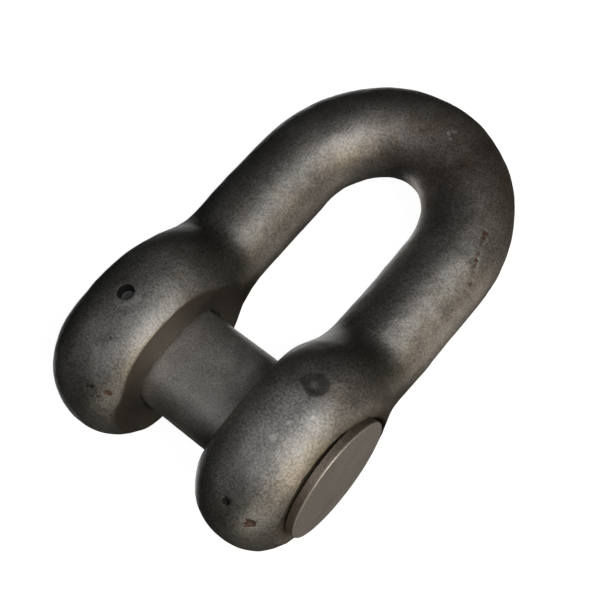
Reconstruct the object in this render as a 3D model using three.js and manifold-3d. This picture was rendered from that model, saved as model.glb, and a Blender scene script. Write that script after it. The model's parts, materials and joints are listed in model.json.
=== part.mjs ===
// Dee shackle that joins two lengths of anchor chain: a forged bow with two eyes, an oval bolt with a round
// head, a tapered locking pin through the left eye and the bolt, and a lead pellet that seals the pin in.
//
// Shackle frame: origin at the middle of the bolt, +X along the bolt towards its head, +Y towards the bow,
// +Z square to the plane of the dee. The finished group lies on z = 0, on both eyes and the crown of its bow.

import * as THREE from "three";
import { ParametricGeometry } from "three/addons/geometries/ParametricGeometry.js";
import { mergeVertices } from "three/addons/utils/BufferGeometryUtils.js";
import Module from "manifold-3d";

// Driving dimensions, in millimetres. Nearly all are multiples of the bar of the chain that it joins.
const CHAIN_SIZE = 50;

const BAR_RADIUS = 0.65 * CHAIN_SIZE;
const LEG_X = 1.31 * CHAIN_SIZE; // centre of each leg
const LEG_LENGTH = 3.11 * CHAIN_SIZE; // bolt axis to the start of the bow
const BOW_RISE = 1.54 * CHAIN_SIZE; // start of the bow to its crown, along the bar's centre

const EYE_HALF_HEIGHT = 1.25 * CHAIN_SIZE;
const EYE_HALF_WIDTH = 0.85 * CHAIN_SIZE;
const EYE_DROP = 1.46 * CHAIN_SIZE; // bolt axis to the tip of the eye
const EYE_RISE = 1.57 * CHAIN_SIZE; // reach of the eye's height up the leg
const EYE_WIDTH_RISE = 1.35 * CHAIN_SIZE; // reach of its width up the leg
const EYE_INSET = 0.07 * CHAIN_SIZE; // how far the eye sits inside the line of the leg
const NECK_END = 2 * CHAIN_SIZE; // where the leg is plain bar again
const NECK_BLEND = 0.24 * CHAIN_SIZE; // softness of the step from eye to bar
const NECK_FILLET = 0.14 * CHAIN_SIZE; // length over which the eye's height flows into the bar
const EYE_DROP_POWER = 2.3; // superellipse powers: 2 is an ellipse, higher is squarer
const EYE_RISE_POWER = 2.5;
const EYE_SECTION_POWER = 2.55;

const JAW_HALF_GAP = 0.645 * CHAIN_SIZE; // between the machined inner faces of the eyes
const JAW_FLAT_HEIGHT = 0.7 * CHAIN_SIZE; // half height of their flat part
const JAW_FLAT_FRONT = CHAIN_SIZE; // reach of their flat part in front of the bolt's axis
const JAW_DRAFT = 0.17; // fall per unit of length above and below the flat part
const JAW_FRONT_DRAFT = 0.3; // the same in front of it
const SEAT_X = 1.858 * CHAIN_SIZE; // face of the boss under the bolt's head
const SEAT_RADIUS = 0.98 * CHAIN_SIZE; // of that boss
const SEAT_TOOL_RADIUS = 1.01 * CHAIN_SIZE; // of the tool that faces it
const SEAT_TOOL_Y = -0.08 * CHAIN_SIZE; // the tool's axis, clear of the leg
const SEAT_BOSS_DEPTH = 0.2 * CHAIN_SIZE;
const SEAT_BOSS_DRAFT = 0.05 * CHAIN_SIZE; // how much wider the boss is at its foot
const LEFT_FACE_X = -1.97 * CHAIN_SIZE; // flat on the outside of the left eye

const BOLT_HALF_WIDTH = 0.73 * CHAIN_SIZE; // along Y
const BOLT_HALF_HEIGHT = 0.625 * CHAIN_SIZE; // along Z
const BOLT_POWER = 2.75;
const BOLT_END_X = -1.955 * CHAIN_SIZE;
const HEAD_RADIUS = 0.89 * CHAIN_SIZE;
const HEAD_THICKNESS = 0.138 * CHAIN_SIZE;
const HEAD_CHAMFER = 0.018 * CHAIN_SIZE;
const BOLT_CLEARANCE = 0.8; // round the bolt, in both eyes
const BOLT_END_FLOAT = 0.7; // how far the locked bolt can still shift

const LOCK_X = -LEG_X;
const LOCK_TOP_RADIUS = 0.098 * CHAIN_SIZE;
const LOCK_TAPER = 0.01; // fall of the radius per unit of length: 1 in 50 on the diameter
const LOCK_TOP_Z = 0.945 * CHAIN_SIZE;
const LOCK_BOTTOM_Z = -1.2 * CHAIN_SIZE;
const PELLET_RADIUS = 0.104 * CHAIN_SIZE;
const PELLET_HEIGHT = 0.12 * CHAIN_SIZE;
const GAP = 0.3; // between pieces that touch on the real shackle

// Steps along half of the body, from the tip of an eye to the crown of the bow, and round the bar.
const EYE_STEPS = 9;
const NECK_STEPS = 10;
const LEG_STEPS = 3;
const BOW_STEPS = 10;
const HALF_STEPS = EYE_STEPS + NECK_STEPS + LEG_STEPS + BOW_STEPS;
const ROUND_STEPS = 32;
const OVAL_POINTS = 48;
const TURNED_SIDES = 64;
const LOCK_SIDES = 24;

const forgedSteel = new THREE.MeshStandardMaterial({ color: 0x4c4844, roughness: 0.52, metalness: 0.85 });
const boltSteel = new THREE.MeshStandardMaterial({ color: 0x5a5753, roughness: 0.6, metalness: 0.8 });
const pinSteel = new THREE.MeshStandardMaterial({ color: 0x7d7b78, roughness: 0.4, metalness: 0.9 });
const lead = new THREE.MeshStandardMaterial({ color: 0x5f6163, roughness: 0.7, metalness: 0.5 });

const wasm = await Module();
wasm.setup();

// Superellipse helpers: the height over t, and the point at an angle.
const superHeight = (t, power) => Math.max(0, 1 - Math.abs(t) ** power) ** (1 / power);
const superTerm = (value, power) => Math.sign(value) * Math.abs(value) ** (2 / power);

function smoothMax(a, b, softness) {
  const share = THREE.MathUtils.clamp(0.5 + (0.5 * (a - b)) / softness, 0, 1);
  return THREE.MathUtils.lerp(b, a, share) + softness * share * (1 - share);
}

// Half size of the leg's section at y: the eye's outline of the given half size, flowing into the round bar.
function eyeOutline(y, halfSize, rise) {
  const below = Math.min(0, y / BAR_RADIUS);
  const bar = BAR_RADIUS * Math.sqrt(Math.max(0, 1 - below * below));
  const share = y < 0 ? superHeight(y / EYE_DROP, EYE_DROP_POWER) : superHeight(y / rise, EYE_RISE_POWER);
  const eye = halfSize * share;
  return smoothMax(eye, bar, bar > 0 ? NECK_BLEND : 1e-6);
}

// Half height, half width, inset and squareness of the leg's section at y.
function legSection(y) {
  const squareness = 1 - THREE.MathUtils.smoothstep(y, 0, EYE_RISE);
  const fromNeck = THREE.MathUtils.clamp(y / NECK_END, 0, 1);
  const fillet = NECK_FILLET * (1 - squareness);
  const heights = [-1, -0.5, 0, 0.5, 1].map((t) => eyeOutline(y + t * fillet, EYE_HALF_HEIGHT, EYE_RISE));
  return {
    halfHeight: heights.reduce((sum, height) => sum + height) / heights.length,
    halfWidth: eyeOutline(y, EYE_HALF_WIDTH, EYE_WIDTH_RISE),
    inset: EYE_INSET * 0.5 * (1 + Math.cos(Math.PI * fromNeck)),
    power: 2 + (EYE_SECTION_POWER - 2) * squareness,
  };
}

// Centre, outward direction and section of the right half, counted in steps from the eye's tip to the crown.
function station(step) {
  const inBow = step - EYE_STEPS - NECK_STEPS - LEG_STEPS;
  if (inBow > 0) {
    const angle = ((inBow / BOW_STEPS) * Math.PI) / 2;
    const centre = new THREE.Vector2(LEG_X * Math.cos(angle), LEG_LENGTH + BOW_RISE * Math.sin(angle));
    const outward = new THREE.Vector2(BOW_RISE * Math.cos(angle), LEG_X * Math.sin(angle)).normalize();
    return { centre, outward, halfHeight: BAR_RADIUS, halfWidth: BAR_RADIUS, power: 2 };
  }
  let y = NECK_END + (LEG_LENGTH - NECK_END) * (1 + inBow / LEG_STEPS);
  if (step < EYE_STEPS) y = -EYE_DROP * Math.cos(((step / EYE_STEPS) * Math.PI) / 2);
  else if (step < EYE_STEPS + NECK_STEPS) y = (NECK_END * (step - EYE_STEPS)) / NECK_STEPS;
  const section = legSection(y);
  const centre = new THREE.Vector2(LEG_X - section.inset, y);
  return { centre, outward: new THREE.Vector2(1, 0), ...section };
}

// Skin of the forging before machining: along runs from the left eye's tip to the right eye's tip.
function forgingSkin(along, round, target) {
  const step = along * 2 * HALF_STEPS;
  const side = step < HALF_STEPS ? -1 : 1;
  const { centre, outward, halfHeight, halfWidth, power } = station(Math.min(step, 2 * HALF_STEPS - step));
  const angle = -round * 2 * Math.PI;
  const reach = halfWidth * superTerm(Math.cos(angle), power);
  const height = halfHeight * superTerm(Math.sin(angle), power);
  target.set(side * (centre.x + outward.x * reach), centre.y + outward.y * reach, height);
}

// A closed three.js geometry as a solid that can be cut and joined.
function solidFrom(geometry) {
  const bare = geometry.clone();
  for (const name of Object.keys(bare.attributes)) if (name !== "position") bare.deleteAttribute(name);
  const merged = mergeVertices(bare, 1e-3);
  const corners = merged.index.array;
  const kept = [];
  for (let i = 0; i < corners.length; i += 3) {
    const [a, b, c] = corners.slice(i, i + 3);
    if (a !== b && b !== c && c !== a) kept.push(a, b, c);
  }
  return new wasm.Manifold(
    new wasm.Mesh({
      numProp: 3,
      vertProperties: merged.attributes.position.array,
      triVerts: new Uint32Array(kept),
    }),
  );
}

function geometryFrom(solid) {
  const { vertProperties, triVerts } = solid.getMesh();
  const geometry = new THREE.BufferGeometry();
  geometry.setAttribute("position", new THREE.BufferAttribute(vertProperties, 3));
  geometry.setIndex(new THREE.BufferAttribute(triVerts, 1));
  return geometry;
}

// Turns a piece made along Z so that it lies along the bolt.
function alongBolt(geometry) {
  const y = new THREE.Vector3(0, 1, 0);
  const z = new THREE.Vector3(0, 0, 1);
  return geometry.applyMatrix4(new THREE.Matrix4().makeBasis(y, z, new THREE.Vector3(1, 0, 0)));
}

// A superellipse bar along X from fromX to toX, with its ends chamfered.
function ovalBar(halfWidth, halfHeight, power, fromX, toX, chamfer = 0) {
  const points = [];
  for (let i = 0; i < OVAL_POINTS; i++) {
    const angle = (i / OVAL_POINTS) * 2 * Math.PI;
    const y = (halfWidth - chamfer) * superTerm(Math.cos(angle), power);
    const z = (halfHeight - chamfer) * superTerm(Math.sin(angle), power);
    points.push(new THREE.Vector2(y, z));
  }
  const bevel = { bevelEnabled: chamfer > 0, bevelSize: chamfer, bevelThickness: chamfer, bevelSegments: 1 };
  const depth = toX - fromX - 2 * chamfer;
  const bar = new THREE.ExtrudeGeometry(new THREE.Shape(points), { depth, steps: 1, ...bevel });
  return alongBolt(bar).translate(fromX + chamfer, 0, 0);
}

// A solid turned round the bolt's axis, from pairs of radius and X that start and end on the axis.
function turned(pairs) {
  const points = pairs.map(([radius, x]) => new THREE.Vector2(radius, x));
  return alongBolt(new THREE.LatheGeometry(points, TURNED_SIDES).rotateX(Math.PI / 2));
}

const lockRadius = (z) => LOCK_TOP_RADIUS - LOCK_TAPER * (LOCK_TOP_Z - z);

// A round piece on the locking pin's axis.
function lockRound(topRadius, bottomRadius, topZ, bottomZ) {
  const round = new THREE.CylinderGeometry(topRadius, bottomRadius, topZ - bottomZ, LOCK_SIDES);
  return round.rotateX(Math.PI / 2).translate(LOCK_X, 0, (topZ + bottomZ) / 2);
}

// The locking pin's own cone, wider by clearance, and long enough to cut through between two heights.
function lockCone(clearance, topZ, bottomZ) {
  return lockRound(lockRadius(topZ) + clearance, lockRadius(bottomZ) + clearance, topZ, bottomZ);
}

function block(x, y, z, sizeX, sizeY, sizeZ) {
  return new THREE.BoxGeometry(sizeX, sizeY, sizeZ).translate(x, y, z);
}

// Cutter for the jaw: flat faces beside the bolt, which fall away by their draft above, below and in front.
function jawCutter() {
  const far = 4 * EYE_HALF_HEIGHT;
  const halfGapAt = (reach, flat, draft) => JAW_HALF_GAP + draft * (reach - flat);
  const wide = halfGapAt(far, JAW_FLAT_HEIGHT, JAW_DRAFT);
  const wideFront = halfGapAt(far, JAW_FLAT_FRONT, JAW_FRONT_DRAFT);
  const channelOutline = [
    [JAW_HALF_GAP, JAW_FLAT_HEIGHT],
    [wide, far],
    [-wide, far],
    [-JAW_HALF_GAP, JAW_FLAT_HEIGHT],
    [-JAW_HALF_GAP, -JAW_FLAT_HEIGHT],
    [-wide, -far],
    [wide, -far],
    [JAW_HALF_GAP, -JAW_FLAT_HEIGHT],
  ];
  const frontOutline = [
    [-JAW_HALF_GAP, -JAW_FLAT_FRONT],
    [-wideFront, -far],
    [wideFront, -far],
    [JAW_HALF_GAP, -JAW_FLAT_FRONT],
  ];
  const extruded = (pairs, depth) => {
    const shape = new THREE.Shape(pairs.map(([x, y]) => new THREE.Vector2(x, y)));
    return new THREE.ExtrudeGeometry(shape, { depth, bevelEnabled: false });
  };
  const channel = extruded(channelOutline, far + NECK_END).rotateX(-Math.PI / 2).translate(0, -far, 0);
  const front = extruded(frontOutline, 2 * far).translate(0, 0, -far);
  return solidFrom(channel).add(solidFrom(front));
}

function makeShackleBody() {
  const skin = new ParametricGeometry(forgingSkin, 2 * HALF_STEPS, ROUND_STEPS);
  const holeWidth = BOLT_HALF_WIDTH + BOLT_CLEARANCE;
  const holeHeight = BOLT_HALF_HEIGHT + BOLT_CLEARANCE;
  const far = 4 * EYE_HALF_HEIGHT;
  const pocketFloor = LOCK_TOP_Z + GAP / 2;
  const boss = turned([
    [0, SEAT_X - SEAT_BOSS_DEPTH],
    [SEAT_RADIUS + SEAT_BOSS_DRAFT, SEAT_X - SEAT_BOSS_DEPTH],
    [SEAT_RADIUS, SEAT_X],
    [0, SEAT_X],
  ]);
  const seatTool = turned([
    [0, SEAT_X],
    [SEAT_TOOL_RADIUS, SEAT_X],
    [SEAT_TOOL_RADIUS, far],
    [0, far],
  ]).translate(0, SEAT_TOOL_Y, 0);
  const cuts = [
    solidFrom(seatTool),
    jawCutter(),
    solidFrom(block(LEFT_FACE_X - far / 2, 0, 0, far, far, far)),
    solidFrom(ovalBar(holeWidth, holeHeight, BOLT_POWER, 2 * LEFT_FACE_X, -2 * LEFT_FACE_X)),
    solidFrom(lockCone(GAP, EYE_HALF_HEIGHT, -2 * EYE_HALF_HEIGHT)),
    solidFrom(lockRound(PELLET_RADIUS + GAP, PELLET_RADIUS + GAP, 2 * EYE_HALF_HEIGHT, pocketFloor)),
  ];
  return cuts.reduce((solid, cut) => solid.subtract(cut), solidFrom(skin).add(solidFrom(boss)));
}

function makeBolt() {
  const seat = SEAT_X + GAP;
  const front = seat + HEAD_THICKNESS;
  const shank = ovalBar(BOLT_HALF_WIDTH, BOLT_HALF_HEIGHT, BOLT_POWER, BOLT_END_X, front - 2, 2);
  const head = turned([
    [0, seat],
    [HEAD_RADIUS, seat],
    [HEAD_RADIUS, front - HEAD_CHAMFER],
    [HEAD_RADIUS - HEAD_CHAMFER, front],
    [0, front],
  ]);
  const crossHole = lockCone(BOLT_END_FLOAT + GAP, LOCK_TOP_Z, LOCK_BOTTOM_Z);
  return solidFrom(shank).add(solidFrom(head)).subtract(solidFrom(crossHole));
}

function makeLockingPin() {
  return solidFrom(lockCone(0, LOCK_TOP_Z, LOCK_BOTTOM_Z));
}

function makeLeadPellet() {
  const bottomZ = LOCK_TOP_Z + GAP;
  return solidFrom(lockRound(PELLET_RADIUS, PELLET_RADIUS, bottomZ + PELLET_HEIGHT, bottomZ));
}

function namedMesh(name, solid, material) {
  const mesh = new THREE.Mesh(geometryFrom(solid), material);
  mesh.name = name;
  return mesh;
}

// Lowest point of the eyes and of the bow when the shackle is turned by angle about X.
function lowestPoints(geometry, angle) {
  const position = geometry.getAttribute("position");
  const lowest = { eyes: Infinity, bow: Infinity };
  for (let i = 0; i < position.count; i++) {
    const end = position.getY(i) < NECK_END ? "eyes" : "bow";
    const z = position.getY(i) * Math.sin(angle) + position.getZ(i) * Math.cos(angle);
    lowest[end] = Math.min(lowest[end], z);
  }
  return lowest;
}

// Turn about X that puts the eyes and the bow on the same level, found by halving.
function restAngle(geometry) {
  let low = -Math.PI / 8;
  let high = 0;
  for (let i = 0; i < 40; i++) {
    const middle = (low + high) / 2;
    const { eyes, bow } = lowestPoints(geometry, middle);
    if (bow > eyes) high = middle;
    else low = middle;
  }
  return (low + high) / 2;
}

const body = namedMesh("shackle_body", makeShackleBody(), forgedSteel);
const shackle = new THREE.Group();
shackle.add(body);
shackle.add(namedMesh("bolt", makeBolt(), boltSteel));
shackle.add(namedMesh("locking_pin", makeLockingPin(), pinSteel));
shackle.add(namedMesh("lead_pellet", makeLeadPellet(), lead));
shackle.rotation.x = restAngle(body.geometry);

// The part's origin is under the middle of the shackle as it lies.
const group = new THREE.Group();
group.add(shackle);
const bounds = new THREE.Box3().setFromObject(group, true);
shackle.position.set(-(bounds.min.x + bounds.max.x) / 2, -(bounds.min.y + bounds.max.y) / 2, -bounds.min.z);

export default group;
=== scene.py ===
"""Looks of the forged dee shackle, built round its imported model.

Every mesh is made in the shackle frame, in metres: origin at the middle of the bolt, +X along the bolt
towards its head, +Y towards the bow, +Z square to the plane of the dee. to_row then lays it down in the
row frame.
"""

import json
import math

import bpy
import numpy as np
from mathutils import Matrix, Vector


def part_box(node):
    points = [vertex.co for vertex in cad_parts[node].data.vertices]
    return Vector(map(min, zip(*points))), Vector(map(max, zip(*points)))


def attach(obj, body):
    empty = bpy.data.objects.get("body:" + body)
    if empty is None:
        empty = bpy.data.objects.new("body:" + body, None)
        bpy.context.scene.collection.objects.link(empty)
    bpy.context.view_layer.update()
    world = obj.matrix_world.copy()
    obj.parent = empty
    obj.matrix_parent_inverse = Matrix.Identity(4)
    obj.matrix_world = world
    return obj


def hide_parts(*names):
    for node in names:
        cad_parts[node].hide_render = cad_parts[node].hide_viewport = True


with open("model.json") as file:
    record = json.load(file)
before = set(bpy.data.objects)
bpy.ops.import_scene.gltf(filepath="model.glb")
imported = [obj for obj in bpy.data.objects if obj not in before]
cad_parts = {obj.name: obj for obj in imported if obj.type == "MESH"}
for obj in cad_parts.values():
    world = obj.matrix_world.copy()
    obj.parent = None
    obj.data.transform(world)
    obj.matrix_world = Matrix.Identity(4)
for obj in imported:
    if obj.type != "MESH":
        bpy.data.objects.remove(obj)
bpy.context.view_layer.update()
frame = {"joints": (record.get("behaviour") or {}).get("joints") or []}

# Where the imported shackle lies.
body_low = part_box("shackle_body")[0]
bolt_low, bolt_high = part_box("bolt")
MM = 0.001

# The chain's bar, which the shackle's sizes are multiples of, worked out from the bolt's length.
BOLT_LENGTH_IN_BARS = 3.957
CHAIN = (bolt_high.x - bolt_low.x) / BOLT_LENGTH_IN_BARS

# Sizes, as multiples of the chain's bar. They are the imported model's, but the tool that faces the seat
# passes a millimetre nearer to the bolt's head at the neck.
BAR_RADIUS = 0.65 * CHAIN
LEG_X = 1.31 * CHAIN
LEG_LENGTH = 3.11 * CHAIN
BOW_RISE = 1.54 * CHAIN
EYE_HALF_HEIGHT = 1.25 * CHAIN
EYE_HALF_WIDTH = 0.85 * CHAIN
EYE_DROP = 1.46 * CHAIN
EYE_RISE = 1.57 * CHAIN
EYE_WIDTH_RISE = 1.35 * CHAIN
EYE_INSET = 0.07 * CHAIN
NECK_END = 2 * CHAIN
NECK_BLEND = 0.24 * CHAIN
NECK_FILLET = 0.14 * CHAIN
EYE_DROP_POWER = 2.3
EYE_RISE_POWER = 2.5
EYE_SECTION_POWER = 2.55
JAW_HALF_GAP = 0.645 * CHAIN
JAW_FLAT_HEIGHT = 0.7 * CHAIN
JAW_FLAT_FRONT = CHAIN
JAW_DRAFT = 0.17
JAW_FRONT_DRAFT = 0.3
SEAT_X = 1.858 * CHAIN
SEAT_RADIUS = 0.98 * CHAIN
SEAT_TOOL_RADIUS = CHAIN
SEAT_TOOL_Y = -0.09 * CHAIN
SEAT_BOSS_DEPTH = 0.2 * CHAIN
SEAT_BOSS_DRAFT = 0.05 * CHAIN
LEFT_FACE_X = -1.97 * CHAIN
BOLT_HALF_WIDTH = 0.73 * CHAIN
BOLT_HALF_HEIGHT = 0.625 * CHAIN
BOLT_POWER = 2.75
BOLT_END_X = -1.955 * CHAIN
HEAD_RADIUS = 0.89 * CHAIN
HEAD_THICKNESS = 0.138 * CHAIN
BOLT_CLEARANCE = 0.8 * MM
BOLT_END_FLOAT = 0.7 * MM
LOCK_X = -LEG_X
LOCK_TOP_RADIUS = 0.098 * CHAIN
LOCK_TAPER = 0.01
LOCK_TOP_Z = 0.945 * CHAIN
LOCK_BOTTOM_Z = -1.2 * CHAIN
PELLET_RADIUS = 0.104 * CHAIN
PELLET_HEIGHT = 0.12 * CHAIN
GAP = 0.3 * MM

# The locking pin slides along the shackle's own Z, which gives the tilt at which the shackle lies.
pin_joint = next(j for j in frame["joints"] if j["child"] == "locking_pin")
up_axis = Vector(pin_joint["axis"]).normalized()
along_axis = up_axis.cross(Vector((1, 0, 0)))
bolt_middle = (bolt_low + bolt_high) / 2
shackle_origin = Vector((body_low.x - LEFT_FACE_X, bolt_middle.y, bolt_middle.z))
tilt = Matrix((Vector((1, 0, 0)), along_axis, up_axis)).transposed()
to_row = Matrix.Translation(shackle_origin) @ tilt.to_4x4()


# ---------------------------------------------------------------- small tools


def smooth_max(a, b, softness):
    share = np.clip(0.5 + 0.5 * (a - b) / softness, 0, 1)
    return b + (a - b) * share + softness * share * (1 - share)


def smooth_step(t):
    t = np.clip(t, 0, 1)
    return t * t * (3 - 2 * t)


def super_height(t, power):
    return np.maximum(0, 1 - np.abs(t) ** power) ** (1 / power)


def super_term(value, power):
    return np.sign(value) * np.abs(value) ** (2 / power)


# Points on each side of the noise's repeating lattice, and a shift that keeps every place in it positive.
LATTICE = 32
LATTICE_SHIFT = 100.5


def soft_noise(points, size, seed):
    """Smooth random field from -1 to 1, with lumps about size across, at each point."""
    lattice = np.random.default_rng(seed).uniform(-1, 1, (LATTICE, LATTICE, LATTICE))
    place = points / size + LATTICE_SHIFT
    cell = np.floor(place).astype(int)
    part = smooth_step(place - cell)
    total = np.zeros(len(points))
    for corner in np.ndindex(2, 2, 2):
        corner = np.array(corner)
        weight = np.prod(np.where(corner == 1, part, 1 - part), axis=1)
        x, y, z = ((cell + corner) % LATTICE).T
        total += weight * lattice[x, y, z]
    return total


def layered_noise(points, layers):
    """Sum of soft noises. A layer is its height and its lumps' size, in millimetres, and its seed."""
    return sum(height * MM * soft_noise(points, size * MM, seed) for height, size, seed in layers)


def new_object(name, vertices, faces):
    mesh = bpy.data.meshes.new(name)
    mesh.from_pydata([tuple(v) for v in vertices], [], [tuple(f) for f in faces])
    mesh.validate()
    mesh.update()
    made = bpy.data.objects.new(name, mesh)
    bpy.context.scene.collection.objects.link(made)
    return made


def lofted(name, rings):
    """A closed skin through rings of points, from one end's middle to the other's."""
    rings = np.asarray(rings)
    count, around = rings.shape[:2]
    start, end = rings[0].mean(0), rings[-1].mean(0)
    vertices = np.vstack([rings.reshape(-1, 3), start, end])
    row = np.arange(count - 1)[:, None] * around
    this = np.arange(around)[None]
    following = (this + 1) % around
    quads = np.stack([row + this, row + following, row + around + following, row + around + this], -1)
    faces = [tuple(q) for q in quads.reshape(-1, 4).tolist()]
    last = (count - 1) * around
    for i in range(around):
        j = (i + 1) % around
        faces.append((count * around, j, i))
        faces.append((count * around + 1, last + i, last + j))
    made = new_object(name, vertices, faces)
    if signed_volume(made) < 0:
        made.data.flip_normals()
    return made


def signed_volume(thing):
    mesh = thing.data
    mesh.calc_loop_triangles()
    corners = np.empty(len(mesh.loop_triangles) * 3, np.int32)
    mesh.loop_triangles.foreach_get("vertices", corners)
    a, b, c = points_of(thing)[corners.reshape(-1, 3)].transpose(1, 0, 2)
    return float(np.einsum("ij,ij->i", a, np.cross(b, c)).sum() / 6)


def points_of(thing):
    flat = np.empty(len(thing.data.vertices) * 3)
    thing.data.vertices.foreach_get("co", flat)
    return flat.reshape(-1, 3)


def normals_of(thing):
    flat = np.empty(len(thing.data.vertices) * 3)
    thing.data.vertices.foreach_get("normal", flat)
    return flat.reshape(-1, 3)


def set_points(thing, points):
    thing.data.vertices.foreach_set("co", points.ravel())
    thing.data.update()


def combine(thing, operation, *others):
    """Joins the others to thing, or takes them out of it, and deletes them."""
    for other in others:
        modifier = thing.modifiers.new("combine", "BOOLEAN")
        modifier.operation = operation
        modifier.solver = "MANIFOLD"
        modifier.object = other
    depsgraph = bpy.context.evaluated_depsgraph_get()
    result = bpy.data.meshes.new_from_object(thing.evaluated_get(depsgraph))
    thing.modifiers.clear()
    thing.data = result
    for other in others:
        bpy.data.objects.remove(other)


def spot_share(points, centre, radius):
    """Share of a soft round spot at each point, with its centre and radius given in millimetres."""
    off_centre = np.linalg.norm(points - np.array(centre) * MM, axis=1)
    return np.exp(-((off_centre / (radius * MM)) ** 2))


def point_attribute(thing, name, values):
    attribute = thing.data.attributes.new(name, "FLOAT", "POINT")
    attribute.data.foreach_set("value", np.asarray(values, np.float32))


def finish_piece(thing, material, body, node, sharp_degrees=35):
    """Lays a finished mesh down in the row frame and hands it to the frame."""
    thing.data.transform(to_row)
    thing.data.materials.clear()
    thing.data.materials.append(material)
    thing.data.shade_smooth()
    thing.data.set_sharp_from_angle(angle=math.radians(sharp_degrees))
    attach(thing, body)
    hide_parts(node)


def ring(x, half_width, half_height, power, around, middle_y=0.0):
    angle = np.linspace(0, 2 * math.pi, around, endpoint=False)
    y = middle_y + half_width * super_term(np.cos(angle), power)
    z = half_height * super_term(np.sin(angle), power)
    return np.stack([np.full(around, x), y, z], 1)


def round_ring(x, radius, around, middle_y=0.0):
    return ring(x, radius, radius, 2, around, middle_y)


def lock_ring(radius, z, around):
    angle = np.linspace(0, 2 * math.pi, around, endpoint=False)
    return np.stack([LOCK_X + radius * np.cos(angle), radius * np.sin(angle), np.full(around, z)], 1)


# ---------------------------------------------------------------- forged body

EYE_STEPS, NECK_STEPS, LEG_STEPS, BOW_STEPS = 76, 70, 34, 80
BODY_AROUND = 184
NO_BLEND = 1e-9  # a softness that blends nothing and can still be divided by


def eye_outline(y, half_size, rise):
    """Half size of the leg at each y: the eye's outline, flowing into the round bar."""
    below = np.minimum(0, y / BAR_RADIUS)
    bar = BAR_RADIUS * np.sqrt(np.maximum(0, 1 - below**2))
    drop = super_height(np.minimum(0, y) / EYE_DROP, EYE_DROP_POWER)
    eye = half_size * np.where(y < 0, drop, super_height(y / rise, EYE_RISE_POWER))
    return smooth_max(eye, bar, np.where(bar > 0, NECK_BLEND, NO_BLEND))


def leg_section(y):
    """Half height, half width, inset and squareness of the leg's section at each y."""
    squareness = 1 - smooth_step(y / EYE_RISE)
    fillet = NECK_FILLET * (1 - squareness)
    spots = np.linspace(-1, 1, 9)
    heights = [eye_outline(y + t * fillet, EYE_HALF_HEIGHT, EYE_RISE) for t in spots]
    width = eye_outline(y, EYE_HALF_WIDTH, EYE_WIDTH_RISE)
    inset = EYE_INSET * 0.5 * (1 + np.cos(math.pi * np.clip(y / NECK_END, 0, 1)))
    power = 2 + (EYE_SECTION_POWER - 2) * squareness
    return np.mean(heights, axis=0), width, inset, power


def forging_rings():
    """Rings of the forging's skin, from the tip of the left eye over the bow to the right eye's."""
    eye = -EYE_DROP * np.cos(np.arange(1, EYE_STEPS) / EYE_STEPS * math.pi / 2)
    neck = np.linspace(0, NECK_END, NECK_STEPS, endpoint=False)
    leg = np.linspace(NECK_END, LEG_LENGTH, LEG_STEPS, endpoint=False)
    y = np.concatenate([eye, neck, leg])
    half_height, half_width, inset, power = leg_section(y)
    bow = np.linspace(0, math.pi / 2, BOW_STEPS)
    plain = np.full(BOW_STEPS, BAR_RADIUS)
    centre_x = np.concatenate([LEG_X - inset, LEG_X * np.cos(bow)])
    centre_y = np.concatenate([y, LEG_LENGTH + BOW_RISE * np.sin(bow)])
    out = np.stack([BOW_RISE * np.cos(bow), LEG_X * np.sin(bow)], 1)
    out /= np.linalg.norm(out, axis=1, keepdims=True)
    out = np.vstack([np.tile([1.0, 0.0], (len(y), 1)), out])
    half_height = np.concatenate([half_height, plain])[:, None]
    half_width = np.concatenate([half_width, plain])[:, None]
    power = np.concatenate([power, 2 * np.ones(BOW_STEPS)])[:, None]
    angle = np.linspace(0, 2 * math.pi, BODY_AROUND, endpoint=False)[None]
    reach = half_width * super_term(np.cos(angle), power)
    height = half_height * super_term(np.sin(angle), power)
    x = centre_x[:, None] + out[:, :1] * reach
    y = centre_y[:, None] + out[:, 1:] * reach
    right = np.stack([x, y, height], -1)
    left = right * [-1, 1, 1]
    return np.vstack([left, right[::-1][1:]])


def jaw_half_gap(points):
    """Distance of the eyes' inner faces from the middle, which grows by their draft round the flat part."""
    above = np.maximum(0, np.abs(points[:, 2]) - JAW_FLAT_HEIGHT)
    in_front = np.maximum(0, -points[:, 1] - JAW_FLAT_FRONT)
    return JAW_HALF_GAP + np.maximum(JAW_DRAFT * above, JAW_FRONT_DRAFT * in_front)


JAW_EDGE_ROUND = 1.2 * MM
LEFT_FACE_EDGE_ROUND = 4 * MM


def machined_flats(points):
    """Flattens the faces beside the jaw and the outside of the left eye."""
    x, y = points[:, 0].copy(), points[:, 1]
    eye_share = 1 - smooth_step((y - EYE_WIDTH_RISE) / (NECK_END - EYE_WIDTH_RISE))
    inner = np.sign(x) * smooth_max(np.abs(x), jaw_half_gap(points), JAW_EDGE_ROUND)
    x = np.where(np.abs(x) < LEG_X, x + (inner - x) * eye_share, x)
    x = smooth_max(x, LEFT_FACE_X, LEFT_FACE_EDGE_ROUND)
    return np.stack([x, y, points[:, 2]], 1)


SEAT_AROUND = 160
SEAT_CORE = 2 * MM  # radius of the small rings that close the boss and the tool


def seat_boss():
    """Round boss under the bolt's head, which flares out where it grows from the eye."""
    bevel = 0.6 * MM
    rings = [round_ring(SEAT_X - SEAT_BOSS_DEPTH, SEAT_CORE, SEAT_AROUND)]
    for depth in np.linspace(1, 0, 8):
        radius = SEAT_RADIUS + SEAT_BOSS_DRAFT * depth**2
        rings.append(round_ring(SEAT_X - bevel - (SEAT_BOSS_DEPTH - bevel) * depth, radius, SEAT_AROUND))
    rings.append(round_ring(SEAT_X, SEAT_RADIUS - bevel, SEAT_AROUND))
    rings.append(round_ring(SEAT_X, SEAT_CORE, SEAT_AROUND))
    return lofted("seat_boss", rings)


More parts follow.
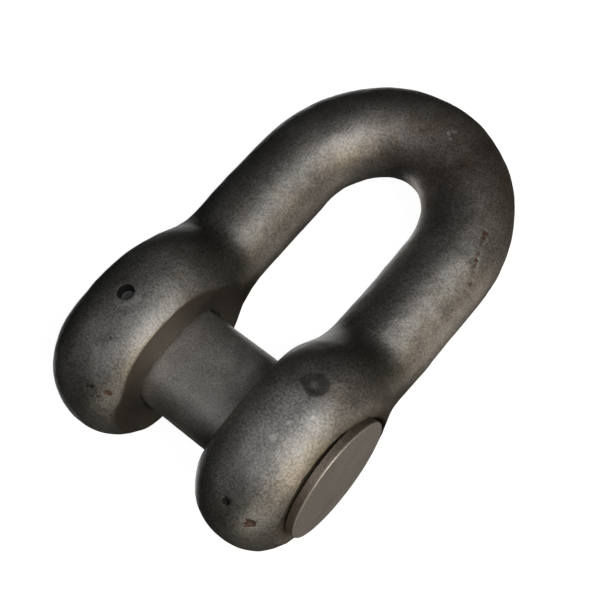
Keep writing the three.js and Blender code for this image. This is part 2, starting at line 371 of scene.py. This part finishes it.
def seat_tool():
    """What the facing tool sweeps: it leaves a wall where the leg stands higher than the boss."""
    far_x = SEAT_X + 25 * MM
    wall = [(SEAT_X, -1.5 * MM), (SEAT_X + 0.4 * MM, -0.4 * MM), (SEAT_X + 1.5 * MM, 0), (far_x, 6 * MM)]
    rings = [round_ring(SEAT_X, SEAT_CORE, SEAT_AROUND, SEAT_TOOL_Y)]
    for x, extra in wall:
        rings.append(round_ring(x, SEAT_TOOL_RADIUS + extra, SEAT_AROUND, SEAT_TOOL_Y))
    rings.append(round_ring(far_x, SEAT_CORE, SEAT_AROUND, SEAT_TOOL_Y))
    return lofted("seat_tool", rings)


HOLE_AROUND = 192


def bolt_hole_cutter():
    """Oval bar that cuts the bolt's hole and breaks the four edges of its mouths."""
    broken = 1.6 * MM
    left_flare, right_flare = 12 * MM, 8 * MM
    stations = [
        (1.5 * LEFT_FACE_X, broken + left_flare),
        (LEFT_FACE_X - left_flare, broken + left_flare),
        (LEFT_FACE_X + broken, 0),
        (-JAW_HALF_GAP - broken, 0),
        (-JAW_HALF_GAP + 0.1 * MM, broken),
        (JAW_HALF_GAP - 0.1 * MM, broken),
        (JAW_HALF_GAP + broken, 0),
        (SEAT_X - broken, 0),
        (SEAT_X + right_flare, broken + right_flare),
        (1.5 * SEAT_X, broken + right_flare),
    ]
    rings = []
    for x, extra in stations:
        room = BOLT_CLEARANCE + extra
        rings.append(ring(x, BOLT_HALF_WIDTH + room, BOLT_HALF_HEIGHT + room, BOLT_POWER, HOLE_AROUND))
    return lofted("bolt_hole_cutter", rings)


LOCK_AROUND = 72


def lock_radius(z):
    return LOCK_TOP_RADIUS - LOCK_TAPER * (LOCK_TOP_Z - z)


def lock_hole_cutter():
    """Taper hole for the locking pin, the pellet's wider pocket, and a broken edge at each mouth."""
    pocket = PELLET_RADIUS + GAP
    mouth_z = EYE_HALF_HEIGHT - 0.3 * MM
    floor_z = LOCK_TOP_Z + GAP / 2
    low_z = -EYE_HALF_HEIGHT + 0.3 * MM
    low_radius = lock_radius(low_z) + GAP
    stations = [
        (low_z - 6 * MM, low_radius + 7 * MM),
        (low_z + 1 * MM, low_radius),
        (floor_z - 0.01 * MM, lock_radius(floor_z) + GAP),
        (floor_z, pocket),
        (mouth_z - 1.5 * MM, pocket - 0.03 * MM),
        (mouth_z - 0.4 * MM, pocket),
        (mouth_z, pocket + 0.2 * MM),
        (mouth_z + 6 * MM, pocket + 5 * MM),
    ]
    return lofted("lock_hole_cutter", [lock_ring(radius, z, LOCK_AROUND) for z, radius in stations])


# Marks on the forging: centre in the shackle frame, radius and depth (all in millimetres), kind, strength.
MARKS = [
    ((66, 25, 60.5), 7.2, 0.5, "ring", 1.1),
    ((64.5, -58.5, 41.5), 2.8, 1.0, "dark", 1.2),
    ((82.5, -59, 32.5), 3.6, 1.1, "rust", 1.4),
    ((-48, -56.5, 41.5), 2.0, 0.4, "dark", 0.85),
    ((-45.6, -57, 39.6), 1.6, 0.4, "dark", 0.8),
    ((-43.5, -58, 35.5), 1.5, 0.4, "dark", 0.75),
    ((-51.5, -57.5, 40.5), 1.5, 0.3, "dark", 0.65),
    ((-46.5, -60, 35.5), 1.4, 0.3, "dark", 0.62),
    ((-38.5, -52.5, 37.5), 2.4, 0.4, "rust", 1.1),
    ((-53, -28, 59), 1.5, 0.3, "dark", 0.7),
    ((67.5, -15.5, 61.5), 3.0, 0.3, "bright", 0.8),
    ((69.5, -3, 62), 2.2, 0.25, "bright", 0.75),
    ((77.5, 8, 60.3), 2.0, 0.2, "bright", 0.7),
    ((17, 233, 32.4), 2.4, 0.2, "bright", 0.68),
    ((14.5, 229.5, 32.5), 1.9, 0.2, "bright", 0.66),
    ((18.5, 226.5, 32.2), 1.7, 0.15, "bright", 0.64),
    ((78, 184, 28), 2.6, 0.4, "rust", 0.8),
    ((79.2, 180, 27.9), 2.0, 0.4, "rust", 0.7),
    ((80.4, 176.5, 27.6), 1.5, 0.3, "rust", 0.65),
    ((83, 169, 26.6), 2.0, 0.3, "rust", 0.7),
    ((84.4, 165, 25.8), 2.4, 0.4, "rust", 0.8),
    ((85.6, 161.5, 24.8), 2.0, 0.4, "rust", 0.7),
    ((87.2, 157.5, 23.6), 1.6, 0.3, "rust", 0.65),
    ((90, 151, 21), 2.2, 0.3, "rust", 0.7),
]


# Round soft spots of the forging's colour: centre in the shackle frame and radius, in millimetres.
# A reddish stain over the crown, which also darkens the bow's top as painted shade.
CROWN_STAIN_AND_SHADE = ((24, 222, 20), 52)
# A painted highlight: a brighter, slightly bluish patch on the right eye's top.
EYE_TOP_HIGHLIGHT = ((58, -4, 62), 24)

# Painted shade on the necks: darkest at one place along the legs, and less so up to a reach on both sides
# of it.
NECK_SHADE_Y = 1.3 * CHAIN
NECK_SHADE_REACH = 0.4 * CHAIN

# The struck ring's line runs at this share of the mark's radius, and the second number sets how thin it is.
RING_LINE, RING_THINNESS = 0.8, 3

# A mark is sunk fully within the first share of its radius, and the wall round that is as wide as the
# second share. Its colour fades out at the third.
MARK_FLOOR, MARK_WALL, MARK_FADE = 0.45, 0.75, 1.6


def press_marks(thing, marks):
    """Sinks the marks into the mesh, and stores how near each point is to a mark of each kind."""
    points, normals = points_of(thing), normals_of(thing)
    sink = np.zeros(len(points))
    near = {kind: np.zeros(len(points)) for kind in ("dark", "rust", "bright", "ring")}
    ragged = 1 + 0.35 * soft_noise(points, 2.2 * MM, 11)
    patchy = soft_noise(points, 5 * MM, 12)
    for centre, radius, depth, kind, strength in marks:
        plain_distance = np.linalg.norm(points - np.array(centre) * MM, axis=1) / (radius * MM)
        distance = ragged * plain_distance
        sink = np.maximum(sink, depth * MM * (1 - smooth_step((distance - MARK_FLOOR) / MARK_WALL)))
        if kind == "ring":
            distance = RING_THINNESS * np.abs(plain_distance - RING_LINE) + 0.7 * patchy
        near[kind] = np.maximum(near[kind], strength * (1 - distance / MARK_FADE))
    # Painted shade: the inside of the pellet's pocket and of the hole under it is made dark.
    x, y, z = points.T
    in_pocket = (np.hypot(x - LOCK_X, y) < PELLET_RADIUS + 0.5 * MM) & (z < EYE_HALF_HEIGHT - 1.6 * MM)
    near["dark"] = np.where(in_pocket & (z > 0), 1, near["dark"])
    set_points(thing, points - normals * sink[:, None])
    for kind, values in near.items():
        point_attribute(thing, kind, values)


MACHINED_SKIN = 1.2 * MM  # how far off a flat face a point still counts as machined


def machined_share(points, normals):
    """How far each point belongs to a face beside the jaw or to the outside of the left eye."""
    x, y = points[:, 0], points[:, 1]
    off_jaw = np.where(y > EYE_RISE, np.inf, np.abs(np.abs(x) - jaw_half_gap(points)))
    off_flat = np.minimum(off_jaw, np.abs(x - LEFT_FACE_X))
    faces_along_bolt = smooth_step((np.abs(normals[:, 0]) - 0.8) / 0.15)
    return faces_along_bolt * (1 - smooth_step(off_flat / MACHINED_SKIN))


# The forging's lumps and its finer scale. The skin is sunk under them, which keeps the forging inside the
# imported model's box. They stop at this distance round the holes, and come back over the fade.
FORGING_LAYERS = [(0.45, 26, 1), (0.22, 9, 2), (0.09, 4, 3), (0.05, 2.5, 4)]
FORGING_SINK = 0.5 * MM
SMOOTH_ROUND_BOLT_HOLE = 3 * MM
SMOOTH_ROUND_LOCK_HOLE = 2.5 * MM
SMOOTH_FADE = 0.4
MACHINED_SMOOTHNESS = 0.93


def scale_lift(points, machined):
    """Height of the forging's lumps and scale at each point, which the holes and machined faces lack."""
    x, y, z = points.T
    hole = (np.abs(y) / (BOLT_HALF_WIDTH + SMOOTH_ROUND_BOLT_HOLE)) ** BOLT_POWER
    hole += (np.abs(z) / (BOLT_HALF_HEIGHT + SMOOTH_ROUND_BOLT_HOLE)) ** BOLT_POWER
    lock = np.hypot(x - LOCK_X, y) / (PELLET_RADIUS + SMOOTH_ROUND_LOCK_HOLE)
    free = smooth_step((hole - 1) / SMOOTH_FADE) * smooth_step((lock - 1) / SMOOTH_FADE)
    rough_share = free * (1 - MACHINED_SMOOTHNESS * machined)
    return (layered_noise(points, FORGING_LAYERS) - FORGING_SINK) * rough_share


# Painted shade lies round the bolt's head, where it meets the seat: full up to a distance off it, and
# fading out over the next. It starts at a depth behind the seat's face, and grows over the stretch after
# that.
HEAD_SHADE_REACH, HEAD_SHADE_FADE = 2 * MM, 10 * MM
HEAD_SHADE_DEPTH, HEAD_SHADE_GROWTH = 15 * MM, 8 * MM


def store_tints(body, points):
    """Stores where the forging is stained, and where its painted shade and painted highlight go, for its
    material to read.
    """
    x, y, z = points.T
    off_head = np.hypot(y, z) - HEAD_RADIUS
    round_head = 1 - smooth_step((off_head - HEAD_SHADE_REACH) / HEAD_SHADE_FADE)
    # Painted shade round the bolt's head, where it meets the seat.
    point_attribute(body, "head_shade", round_head * smooth_step((x - SEAT_X + HEAD_SHADE_DEPTH) / HEAD_SHADE_GROWTH))
    # Reddish stain and painted shade over the crown.
    point_attribute(body, "crown_stain_and_shade", spot_share(points, *CROWN_STAIN_AND_SHADE))
    # Painted highlight on the right eye's top.
    point_attribute(body, "eye_top_highlight", spot_share(points, *EYE_TOP_HIGHLIGHT))
    # Painted shade along the necks.
    point_attribute(body, "neck", np.exp(-(((y - NECK_SHADE_Y) / NECK_SHADE_REACH) ** 2)))


def make_body(material):
    """The bow and both eyes in one skin, with machined flats, the bolt's seat, both holes and the marks."""
    body = lofted("shackle_forging", forging_rings())
    set_points(body, machined_flats(points_of(body)))
    combine(body, "UNION", seat_boss())
    combine(body, "DIFFERENCE", seat_tool(), bolt_hole_cutter(), lock_hole_cutter())
    points, normals = points_of(body), normals_of(body)
    machined = machined_share(points, normals)
    set_points(body, points + normals * scale_lift(points, machined)[:, None])
    press_marks(body, MARKS)
    point_attribute(body, "machined", machined)
    store_tints(body, points)
    finish_piece(body, material, "shackle_body", "shackle_body")


# ---------------------------------------------------------------- bolt, locking pin and lead pellet

BOLT_AROUND = 200

# The bolt's waves and ripples, and how far its skin is sunk under them.
BOLT_LAYERS = [(0.12, 18, 21), (0.05, 3.5, 22)]
BOLT_SINK = 0.17 * MM


def disc_rings(x, half_width, half_height, power, shares):
    return [ring(x, half_width * share, half_height * share, power, BOLT_AROUND) for share in shares]


def make_bolt(material):
    """Oval bolt with a round head: rounded end, long shank, and a worn bevel round the head's flat face."""
    seat = SEAT_X + GAP
    front = seat + HEAD_THICKNESS
    end_bevel, bevel = 2.5 * MM, 1.0 * MM
    rings = disc_rings(BOLT_END_X, BOLT_HALF_WIDTH - end_bevel, BOLT_HALF_HEIGHT - end_bevel, BOLT_POWER,
                       np.linspace(0.04, 1, 22))
    for t in np.linspace(0, math.pi / 2, 6)[1:]:
        inset = end_bevel * (1 - math.sin(t))
        x = BOLT_END_X + end_bevel * (1 - math.cos(t))
        rings.append(ring(x, BOLT_HALF_WIDTH - inset, BOLT_HALF_HEIGHT - inset, BOLT_POWER, BOLT_AROUND))
    for x in np.linspace(BOLT_END_X + 4 * MM, seat - 1 * MM, 118):
        rings.append(ring(x, BOLT_HALF_WIDTH, BOLT_HALF_HEIGHT, BOLT_POWER, BOLT_AROUND))
    under_head = HEAD_RADIUS - 0.8 * MM
    for share in np.linspace(0, 1, 10):
        width = BOLT_HALF_WIDTH + (under_head - BOLT_HALF_WIDTH) * share
        height = BOLT_HALF_HEIGHT + (under_head - BOLT_HALF_HEIGHT) * share
        rings.append(ring(seat, width, height, BOLT_POWER + (2 - BOLT_POWER) * share, BOLT_AROUND))
    for x in np.linspace(seat + 0.8 * MM, front - bevel, 7):
        rings.append(round_ring(x, HEAD_RADIUS, BOLT_AROUND))
    for t in np.linspace(0, math.pi / 2, 6)[1:]:
        radius = HEAD_RADIUS - bevel * (1 - math.cos(t))
        rings.append(round_ring(front - bevel * (1 - math.sin(t)), radius, BOLT_AROUND))
    rings += disc_rings(front, HEAD_RADIUS - bevel, HEAD_RADIUS - bevel, 2, np.linspace(1, 0.03, 40)[1:])
    bolt = lofted("bolt_forging", rings)
    play = BOLT_END_FLOAT + GAP
    end_z = BOLT_HALF_HEIGHT + 12 * MM
    cross_hole = [lock_ring(lock_radius(z) + play, z, LOCK_AROUND) for z in (-end_z, end_z)]
    combine(bolt, "DIFFERENCE", lofted("cross_hole_cutter", cross_hole))
    points, normals = points_of(bolt), normals_of(bolt)
    lift = layered_noise(points, BOLT_LAYERS) - BOLT_SINK
    set_points(bolt, points + normals * lift[:, None])
    points = points_of(bolt)
    off_front = np.abs(points[:, 0] - front)
    worn = (1 - smooth_step(off_front / (2.2 * MM))) * (np.abs(normals[:, 0]) < 0.93)
    head = smooth_step((points[:, 0] - seat) / (1 * MM))
    point_attribute(bolt, "worn", worn)
    point_attribute(bolt, "head", head)
    point_attribute(bolt, "rim", head * (np.abs(normals[:, 0]) < 0.5))
    finish_piece(bolt, material, "bolt", "bolt")


PIN_AROUND = 64


def make_locking_pin(material):
    """Tapered round pin with a small bevel at each end."""
    bevel = 0.8 * MM
    low_radius, top_radius = lock_radius(LOCK_BOTTOM_Z), lock_radius(LOCK_TOP_Z)
    rings = [lock_ring(low_radius * share, LOCK_BOTTOM_Z, PIN_AROUND) for share in (0.2, 0.5, 0.8)]
    for z in np.linspace(LOCK_BOTTOM_Z + bevel, LOCK_TOP_Z - bevel, 60):
        rings.append(lock_ring(lock_radius(z), z, PIN_AROUND))
    rings += [lock_ring(top_radius * share, LOCK_TOP_Z, PIN_AROUND) for share in (0.85, 0.5, 0.2)]
    finish_piece(lofted("taper_pin", rings), material, "locking_pin", "locking_pin")


def make_pellet(material):
    """Lead hammered into its pocket: a soft rim and a dished, dented face."""
    bottom = LOCK_TOP_Z + GAP
    top = bottom + PELLET_HEIGHT
    rings = [lock_ring(PELLET_RADIUS * share, bottom, LOCK_AROUND) for share in (0.2, 0.5, 0.8, 1)]
    for z in np.linspace(bottom + 1 * MM, top - 0.6 * MM, 6):
        rings.append(lock_ring(PELLET_RADIUS, z, LOCK_AROUND))
    for share in np.linspace(0.97, 0.05, 18):
        dish = 0.5 * MM * (1 - share**2) + 0.25 * MM * (share > 0.9)
        rings.append(lock_ring(PELLET_RADIUS * share, top - dish, LOCK_AROUND))
    pellet = lofted("lead_plug", rings)
    points, normals = points_of(pellet), normals_of(pellet)
    face = smooth_step((points[:, 2] - (top - 1.5 * MM)) / (0.5 * MM))
    dents = 0.3 * MM * np.minimum(0, soft_noise(points, 2.6 * MM, 31)) * face
    set_points(pellet, points + normals * dents[:, None])
    finish_piece(pellet, material, "locking_pin", "lead_pellet", 50)


# ---------------------------------------------------------------- materials


class Shader:
    """A principled material with short ways to add the nodes that it needs."""

    def __init__(self, name):
        self.material = bpy.data.materials.new(name)
        self.material.use_nodes = True
        self.nodes = self.material.node_tree.nodes
        self.links = self.material.node_tree.links
        self.principled = self.nodes["Principled BSDF"]
        self.place = self.nodes.new("ShaderNodeTexCoord").outputs["Object"]

    def put(self, value, socket):
        if isinstance(value, bpy.types.NodeSocket):
            self.links.new(value, socket)
        elif isinstance(value, (tuple, list)) and len(value) == 3 and socket.type == "RGBA":
            socket.default_value = (*value, 1)
        else:
            socket.default_value = value

    def noise(self, size, detail=2.0, roughness=0.5, distortion=0.0, stretch=(1, 1, 1)):
        mapping = self.nodes.new("ShaderNodeMapping")
        self.links.new(self.place, mapping.inputs["Vector"])
        mapping.inputs["Scale"].default_value = stretch
        node = self.nodes.new("ShaderNodeTexNoise")
        self.links.new(mapping.outputs[0], node.inputs["Vector"])
        node.inputs["Scale"].default_value = 1 / size
        node.inputs["Detail"].default_value = detail
        node.inputs["Roughness"].default_value = roughness
        node.inputs["Distortion"].default_value = distortion
        return node.outputs["Fac"]

    def attribute(self, name):
        node = self.nodes.new("ShaderNodeAttribute")
        node.attribute_name = name
        return node.outputs["Fac"]

    def span(self, value, from_low, from_high, to_low=0.0, to_high=1.0):
        node = self.nodes.new("ShaderNodeMapRange")
        node.interpolation_type = "SMOOTHSTEP"
        for socket, number in zip(node.inputs, (value, from_low, from_high, to_low, to_high)):
            self.put(number, socket)
        return node.outputs[0]

    def math(self, operation, a, b=0.0):
        node = self.nodes.new("ShaderNodeMath")
        node.operation = operation
        self.put(a, node.inputs[0])
        self.put(b, node.inputs[1])
        return node.outputs[0]

    def mix(self, share, a, b, blend="MIX"):
        node = self.nodes.new("ShaderNodeMix")
        node.data_type = "RGBA"
        node.blend_type = blend
        self.put(share, node.inputs["Factor"])
        self.put(a, node.inputs["A"])
        self.put(b, node.inputs["B"])
        return node.outputs["Result"]

    def tint(self, share, colour, factor):
        return self.mix(share, colour, self.mix(1.0, colour, factor, "MULTIPLY"))

    def grey(self, value):
        node = self.nodes.new("ShaderNodeCombineColor")
        for socket in node.inputs:
            self.put(value, socket)
        return node.outputs[0]

    def edge(self, name, spread):
        """Share of a mark at each point, from the nearness stored in the mesh, with a ragged edge."""
        return self.span(self.math("ADD", self.attribute(name), spread), 0.3, 0.5)

    def bump(self, height, distance, strength=1.0, under=None):
        node = self.nodes.new("ShaderNodeBump")
        node.inputs["Distance"].default_value = distance
        node.inputs["Strength"].default_value = strength
        self.put(height, node.inputs["Height"])
        if under is not None:
            self.links.new(under, node.inputs["Normal"])
        return node.outputs[0]

    def finish(self, **sockets):
        for name, value in sockets.items():
            self.put(value, self.principled.inputs[name.replace("_", " ").title()])
        return self.material


def forged_steel():
    """Dark forged and shot-blasted steel, with oxide tints, painted shade and a painted highlight, a struck
    ring, rusty pits and bright chips.
    """
    shader = Shader("scaled_forging")
    blotch = shader.noise(46 * MM, 4, 0.55, 0.4)
    stain = shader.noise(21 * MM, 5, 0.6, 0.8)
    grain = shader.noise(1.4 * MM, 3, 0.7)
    fine = shader.noise(0.8 * MM, 2, 0.6)
    ragged = shader.noise(1.2 * MM, 3, 0.65)
    colour = shader.mix(shader.span(blotch, 0.36, 0.66), (0.26, 0.25, 0.24), (0.33, 0.324, 0.315))
    colour = shader.mix(shader.span(stain, 0.5, 0.72, 0, 0.35), colour, (0.28, 0.235, 0.18))
    specks = shader.noise(9 * MM, 4, 0.6)
    colour = shader.mix(shader.span(specks, 0.58, 0.75, 0, 0.35), colour, (0.19, 0.175, 0.17))
    shade = shader.span(grain, 0.3, 0.7, 0.6, 1.4)
    colour = shader.mix(1.0, colour, shader.grey(shade), "MULTIPLY")
    colour = shader.mix(shader.span(fine, 0.6, 0.76, 0, 0.3), colour, (0.55, 0.54, 0.52))
    colour = shader.mix(shader.attribute("machined"), colour, (0.19, 0.172, 0.15))
    # Painted shade: a brownish darkening round the bolt's head, where it meets the seat.
    colour = shader.tint(shader.attribute("head_shade"), colour, (0.38, 0.34, 0.27))
    # The crown's reddish stain, which also darkens it as painted shade.
    russet_and_shade = shader.math("MULTIPLY", shader.attribute("crown_stain_and_shade"), shader.span(stain, 0.35, 0.6, 0.45, 1.0))
    colour = shader.tint(russet_and_shade, colour, (0.8, 0.67, 0.6))
    # Painted highlight: brightens the right eye's top.
    colour = shader.tint(shader.attribute("eye_top_highlight"), colour, (1.35, 1.35, 1.37))
    # Painted shade: darkens the necks.
    colour = shader.tint(shader.attribute("neck"), colour, (0.4, 0.4, 0.38))
    spread = shader.math("MULTIPLY", shader.math("SUBTRACT", ragged, 0.5), 0.9)
    dark, rust, bright = (shader.edge(kind, spread) for kind in ("dark", "rust", "bright"))
    struck = shader.span(shader.math("ADD", shader.attribute("ring"), spread), 0, 0.6, 0, 0.7)
    colour = shader.mix(struck, colour, (0.05, 0.047, 0.042))
    colour = shader.mix(shader.math("MULTIPLY", rust, 0.85), colour, (0.105, 0.052, 0.034))
    # The dark marks take in painted shade inside the pellet's pocket.
    colour = shader.mix(shader.math("MULTIPLY", dark, 0.85), colour, (0.035, 0.031, 0.027))
    colour = shader.mix(shader.math("MULTIPLY", bright, 0.75), colour, (0.62, 0.61, 0.58))
    lumps = shader.math("ADD", shader.math("MULTIPLY", grain, 0.6), shader.math("MULTIPLY", blotch, 0.4))
    normal = shader.bump(grain, 0.3 * MM, 0.45)
    normal = shader.bump(fine, 0.15 * MM, 0.4, normal)
    return shader.finish(
        base_color=colour,
        roughness=shader.span(lumps, 0.3, 0.7, 0.44, 0.56),
        metallic=shader.span(rust, 0, 1, 0.9, 0.8),
        normal=normal,
    )


def bolt_steel():
    """Machined steel of the bolt, dulled by oxide, with a worn bevel and a rusty rim round the head."""
    shader = Shader("dull_bolt")
    blotch = shader.noise(24 * MM, 4, 0.6, 0.5)
    grain = shader.noise(1.1 * MM, 3, 0.7)
    colour = shader.mix(shader.span(blotch, 0.35, 0.65), (0.36, 0.34, 0.318), (0.43, 0.41, 0.385))
    colour = shader.mix(shader.attribute("head"), colour, (0.375, 0.365, 0.355))
    rim = shader.math("MULTIPLY", shader.attribute("rim"), 0.75)
    colour = shader.mix(rim, colour, (0.25, 0.195, 0.145))
    colour = shader.mix(1.0, colour, shader.grey(shader.span(grain, 0.3, 0.7, 0.66, 1.34)), "MULTIPLY")
    colour = shader.mix(shader.math("MULTIPLY", shader.attribute("worn"), 0.7), colour, (0.6, 0.575, 0.53))
    lumps = shader.math("ADD", shader.math("MULTIPLY", grain, 0.5), shader.math("MULTIPLY", blotch, 0.5))
    return shader.finish(
        base_color=colour,
        roughness=shader.span(lumps, 0.3, 0.7, 0.46, 0.58),
        metallic=0.85,
        normal=shader.bump(grain, 0.3 * MM, 0.5),
    )


def pin_steel():
    """Ground steel with fine rings round the pin."""
    shader = Shader("ground_pin_steel")
    rings = shader.noise(1.2 * MM, 2, 0.5, 0, (0.1, 0.1, 1))
    colour = shader.mix(shader.span(rings, 0.35, 0.65), (0.40, 0.39, 0.38), (0.56, 0.55, 0.53))
    return shader.finish(
        base_color=colour,
        roughness=shader.span(rings, 0.3, 0.7, 0.28, 0.4),
        metallic=1.0,
        normal=shader.bump(rings, 0.05 * MM, 0.5),
    )


def hammered_lead():
    """Dull grey lead."""
    shader = Shader("hammered_lead")
    dull = shader.noise(2.4 * MM, 3, 0.6)
    colour = shader.mix(shader.span(dull, 0.35, 0.65), (0.13, 0.13, 0.132), (0.21, 0.21, 0.212))
    return shader.finish(
        base_color=colour,
        roughness=shader.span(dull, 0.3, 0.7, 0.5, 0.7),
        metallic=0.7,
        normal=shader.bump(dull, 0.2 * MM, 0.5),
    )


# ---------------------------------------------------------------- camera, floor and light

VIEW_AZIMUTH, VIEW_ELEVATION, VIEW_ROLL = 48.7, 64.3, -10.2
VIEW_DISTANCE = 14.16 * CHAIN
VIEW_AIM = (1.057 * CHAIN, 1.147 * CHAIN)
LENS = 65.2


def photo_axes():
    """Right, up and back of the camera, in the shackle frame."""
    azimuth, elevation, roll = (math.radians(a) for a in (VIEW_AZIMUTH, VIEW_ELEVATION, VIEW_ROLL))
    level = math.cos(elevation)
    back = Vector((math.sin(azimuth) * level, -math.cos(azimuth) * level, math.sin(elevation)))
    right = Vector((math.cos(azimuth), math.sin(azimuth), 0))
    up = back.cross(right)
    return (
        math.cos(roll) * right + math.sin(roll) * up,
        math.cos(roll) * up - math.sin(roll) * right,
        back,
    )


RIGHT, UP, BACK = photo_axes()


def make_camera():
    camera = bpy.data.objects.new("camera", bpy.data.cameras.new("camera"))
    camera.data.lens = LENS
    camera.data.sensor_width = 36
    turn = Matrix((RIGHT, UP, BACK)).transposed().to_4x4()
    place = RIGHT * VIEW_AIM[0] + UP * VIEW_AIM[1] + BACK * VIEW_DISTANCE
    camera.matrix_world = to_row @ Matrix.Translation(place) @ turn
    bpy.context.scene.collection.objects.link(camera)
    bpy.context.scene.camera = camera


SOFT_BOX_DISTANCE = 1.5
SOFT_BOX_SIZE = 0.8
LIT_PLACE = Vector((0, 1.2 * CHAIN, 0))  # between the bolt and the bow, where every soft box points


def soft_box(name, direction, power, colour):
    """A round soft box that lies in a direction given as shares of the camera's right, up and back."""
    light = bpy.data.lights.new(name, "AREA")
    light.shape = "DISK"
    light.size = SOFT_BOX_SIZE
    light.energy = power
    light.color = colour
    lamp = bpy.data.objects.new(name, light)
    toward = tilt @ (RIGHT * direction[0] + UP * direction[1] + BACK * direction[2]).normalized()
    place = to_row @ LIT_PLACE + toward * SOFT_BOX_DISTANCE
    turn = toward.to_track_quat("Z", "Y").to_matrix().to_4x4()
    lamp.matrix_world = Matrix.Translation(place) @ turn
    lamp.visible_camera = False
    bpy.context.scene.collection.objects.link(lamp)


def make_studio():
    """A white floor and dome that the camera sees, but which neither shade nor light the steel."""
    reach = 8
    dome_radius = 0.9 * reach
    dome_around = 48
    corners = [(-reach, -reach, 0), (reach, -reach, 0), (reach, reach, 0), (-reach, reach, 0)]
    floor = new_object("floor", corners, [(0, 1, 2, 3)])
    floor.location.z = -0.5 * MM
    dome_rings = []
    for angle in np.linspace(-0.1, 0.49 * math.pi, 16):
        turn = np.linspace(0, 2 * math.pi, dome_around, endpoint=False)
        level = dome_radius * math.cos(angle)
        height = np.full(dome_around, dome_radius * math.sin(angle))
        dome_rings.append(np.stack([level * np.cos(turn), level * np.sin(turn), height], 1))
    dome = lofted("dome", dome_rings)
    for thing, albedo, glow in ((floor, 0.3, 0.95), (dome, 0.0, 0.97)):
        material = bpy.data.materials.new(thing.name + "_white")
        material.use_nodes = True
        shader = material.node_tree.nodes["Principled BSDF"]
        shader.inputs["Base Color"].default_value = (albedo, albedo, albedo, 1)
        shader.inputs["Roughness"].default_value = 0.9
        shader.inputs["Specular IOR Level"].default_value = 0
        shader.inputs["Emission Color"].default_value = (1, 1, 1, 1)
        shader.inputs["Emission Strength"].default_value = glow
        thing.data.materials.append(material)
        thing.visible_glossy = False
        thing.visible_diffuse = False
        thing.visible_shadow = False


def make_light():
    """Soft boxes from the photo's side, and three glows from low down that light the far sides."""
    world = bpy.data.worlds.new("studio")
    bpy.context.scene.world = world
    world.use_nodes = True
    background = world.node_tree.nodes["Background"]
    background.inputs["Color"].default_value = (1, 1, 1, 1)
    background.inputs["Strength"].default_value = 0.002
    soft_box("key", (0.42, 0, 0.91), 8.2, (1, 1, 0.97))
    soft_box("warm_key", (0.62, -0.45, 0.64), 6.7, (1, 0.83, 0.6))
    soft_box("left_fill", (-0.42, 0, 0.91), 2.3, (0.97, 0.98, 1))
    soft_box("top_fill", (0.21, 0.37, 0.91), 1.3, (0.98, 0.98, 1))
    soft_box("low_fill", (0, -0.97, 0.26), 2.4, (1, 0.95, 0.82))
    soft_box("floor_glow", (0.85, -0.49, -0.17), 2.9, (1, 0.9, 0.78))
    soft_box("back_glow", (0, 0.42, -0.91), 3.6, (1, 1, 1))
    soft_box("side_glow", (-0.45, -0.05, -0.89), 3, (1, 1, 1))
    bpy.context.scene.view_settings.view_transform = "Standard"


make_body(forged_steel())
make_bolt(bolt_steel())
make_locking_pin(pin_steel())
make_pellet(hammered_lead())
make_camera()
make_studio()
make_light()
